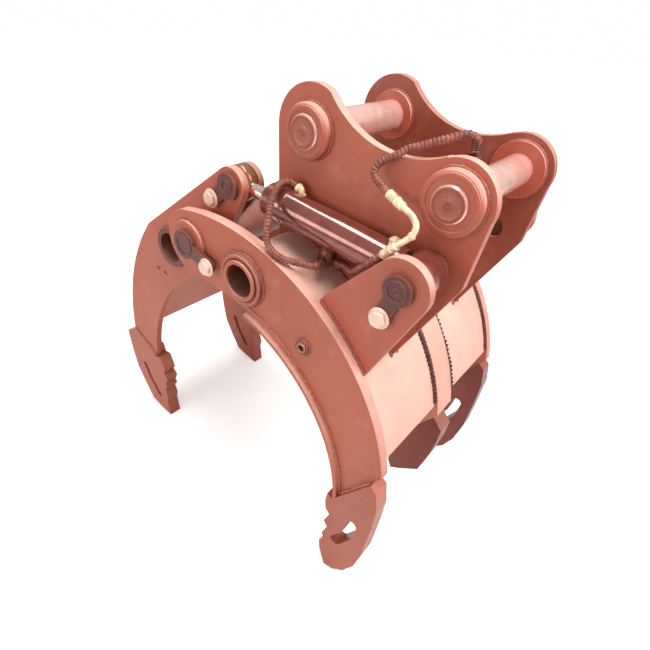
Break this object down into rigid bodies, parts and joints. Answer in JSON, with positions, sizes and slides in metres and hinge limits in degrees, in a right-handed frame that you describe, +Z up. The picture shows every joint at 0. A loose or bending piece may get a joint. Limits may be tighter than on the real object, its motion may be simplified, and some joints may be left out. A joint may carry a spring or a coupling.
{
  "type": "rock grapple",
  "caption": "Hydraulic rock grapple for an excavator: a fixed curved jaw under a pinned saddle head, closed on by a hinged jaw that paired cylinders push.",
  "frame": {"origin": "on the ground under the middle of the grapple, which stands on its claw tips with the jaw open", "axes": "+X towards the fixed jaw, +Y along the pins, away from the pictured side, +Z up"},
  "size_m": [1.382, 0.785, 1.395],
  "materials": {
    "brick_paint": "satin brick-red paint",
    "tooth_steel": "worn brick-red paint over forged steel",
    "pin_steel": "ground steel with thin paint",
    "dark_pin": "oiled dark steel",
    "barrel_paint": "gloss dark red-brown",
    "chrome_rod": "hard chrome",
    "zinc_bolt": "pale zinc",
    "hose_rubber": "ribbed guard, matt",
    "yellow_fitting": "yellow passivated"
  },
  "bodies": {
    "frame": {"head_plate_near": "brick_paint", "head_plate_far": "brick_paint", "head_boss_near": "brick_paint", "head_boss_far": "brick_paint", "fixed_claw_near": "brick_paint", "fixed_claw_mid": "brick_paint", "fixed_claw_far": "brick_paint", "fixed_strip_near": "brick_paint", "fixed_strip_far": "brick_paint", "fixed_shell": "brick_paint", "cross_tube": "brick_paint", "side_tube_near": "brick_paint", "side_tube_far": "brick_paint", "fixed_tooth_near": "tooth_steel", "fixed_tooth_mid": "tooth_steel", "fixed_tooth_far": "tooth_steel", "base_ear_near": "brick_paint", "base_ear_far": "brick_paint", "pivot_pin_near": "dark_pin", "pivot_pin_far": "dark_pin", "base_pin_near": "dark_pin", "base_pin_far": "dark_pin", "frame_keeper_bolts": "zinc_bolt", "hose_c": "hose_rubber", "hose_c_fitting": "yellow_fitting"},
    "moving_jaw": {"moving_claw_near": "brick_paint", "moving_claw_far": "brick_paint", "moving_hub_near": "brick_paint", "moving_hub_far": "brick_paint", "moving_shell": "brick_paint", "moving_tube": "brick_paint", "moving_tooth_near": "tooth_steel", "moving_tooth_far": "tooth_steel", "rod_ear_near": "brick_paint", "rod_ear_far": "brick_paint", "rod_pin_near": "dark_pin", "rod_pin_far": "dark_pin", "jaw_keeper_bolts": "zinc_bolt"},
    "cylinder_near": {"barrel_near": "barrel_paint", "gland_near": "barrel_paint", "fittings_near": "yellow_fitting", "pipe_near": "yellow_fitting", "hose_a_near": "hose_rubber", "hose_b_near": "hose_rubber"},
    "rod_near": {"rod_near": "chrome_rod", "piston_near": "dark_pin"},
    "cylinder_far": {"barrel_far": "barrel_paint", "gland_far": "barrel_paint", "fittings_far": "yellow_fitting", "pipe_far": "yellow_fitting", "hose_a_far": "hose_rubber", "hose_b_far": "hose_rubber"},
    "rod_far": {"rod_far": "chrome_rod", "piston_far": "dark_pin"},
    "pin_a": {"head_pin_a": "pin_steel"},
    "pin_b": {"head_pin_b": "pin_steel"}
  },
  "joints": [
    {"name": "jaw_hinge", "type": "hinge", "parent": "frame", "child": "moving_jaw", "pos_m": [-0.078, 0, 0.967], "axis": [0, -1, 0], "range_deg": [0, 50]},
    {"name": "cylinder_near_hinge", "type": "hinge", "parent": "frame", "child": "cylinder_near", "pos_m": [0.577, -0.241, 1.054], "axis": [0, -1, 0], "range_deg": [-0.6, 0.1]},
    {"name": "rod_near_slide", "type": "slide", "parent": "cylinder_near", "child": "rod_near", "axis": [-0.9898, 0, 0.1424], "range_m": [0, 0.17]},
    {"name": "cylinder_far_hinge", "type": "hinge", "parent": "frame", "child": "cylinder_far", "pos_m": [0.577, 0.241, 1.054], "axis": [0, -1, 0], "range_deg": [-0.6, 0.1]},
    {"name": "rod_far_slide", "type": "slide", "parent": "cylinder_far", "child": "rod_far", "axis": [-0.9898, 0, 0.1424], "range_m": [0, 0.17]},
    {"name": "head_pin_a_slide", "type": "slide", "parent": "frame", "child": "pin_a", "axis": [0, -1, 0], "range_m": [0, 0.46]},
    {"name": "head_pin_b_slide", "type": "slide", "parent": "frame", "child": "pin_b", "axis": [0, -1, 0], "range_m": [0, 0.46]}
  ],
  "couplings": [
    {"joint": "cylinder_near_hinge", "follows": "jaw_hinge", "ratio": -0.0086},
    {"joint": "rod_near_slide", "follows": "jaw_hinge", "m_per_rad": 0.1889},
    {"joint": "cylinder_far_hinge", "follows": "jaw_hinge", "ratio": -0.0086},
    {"joint": "rod_far_slide", "follows": "jaw_hinge", "m_per_rad": 0.1889}
  ]
}
